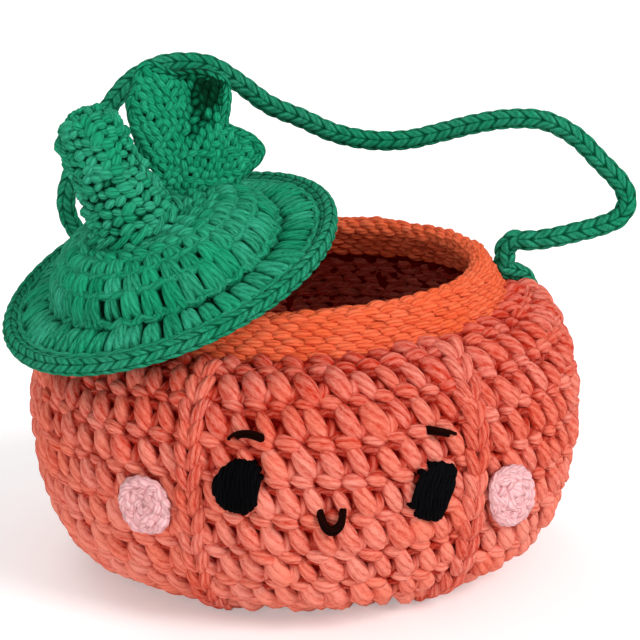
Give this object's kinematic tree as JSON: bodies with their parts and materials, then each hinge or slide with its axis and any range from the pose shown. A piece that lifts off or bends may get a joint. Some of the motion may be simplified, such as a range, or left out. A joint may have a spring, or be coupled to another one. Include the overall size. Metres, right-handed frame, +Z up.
{
  "type": "pumpkin treat bag",
  "caption": "Crocheted pumpkin treat bag: a lobed round bag with a collar, a sewn face, a cord handle and a loose cap with stem and leaf.",
  "frame": {"origin": "middle of the flat underside, on the table", "axes": "+Z up, -Y the way the face looks, +X to the right as one looks at the face"},
  "size_m": [0.1744, 0.1521, 0.1392],
  "materials": {
    "coral_yarn": "matt crocheted yarn",
    "flame_yarn": "matt crocheted yarn",
    "green_yarn": "matt crocheted yarn",
    "leaf_yarn": "matt crocheted yarn",
    "black_yarn": "matt crocheted yarn",
    "dark_yarn": "matt crocheted yarn",
    "pink_yarn": "matt crocheted yarn",
    "white_filling": "loose toy filling"
  },
  "bodies": {
    "bag": {"bottom": "coral_yarn", "wall": "coral_yarn", "collar": "flame_yarn", "eye_left": "black_yarn", "eye_right": "black_yarn", "brow_left": "dark_yarn", "brow_right": "dark_yarn", "smile": "dark_yarn", "cheek_left": "pink_yarn", "cheek_right": "pink_yarn", "tack_left": "green_yarn", "tack_right": "green_yarn"},
    "lid": {"lid_crown": "green_yarn", "lid_brim": "green_yarn", "lid_edging": "green_yarn", "stem_cover": "green_yarn", "stem_filling": "white_filling", "leaf": "leaf_yarn"},
    "handle": {"handle_cord": "green_yarn"}
  },
  "joints": [
    {"name": "lid_close", "type": "hinge", "parent": "bag", "child": "lid", "pos_m": [-0.02086, -0.01424, -0.03122], "axis": [-0.4765, 0.8788, -0.025], "range_deg": [0, 20.5]},
    {"name": "handle_swing", "type": "hinge", "parent": "bag", "child": "handle", "pos_m": [-0.0456, 0.0374, 0.078], "axis": [0.9387, -0.3372, 0.0721], "range_deg": [-55, 0]}
  ]
}
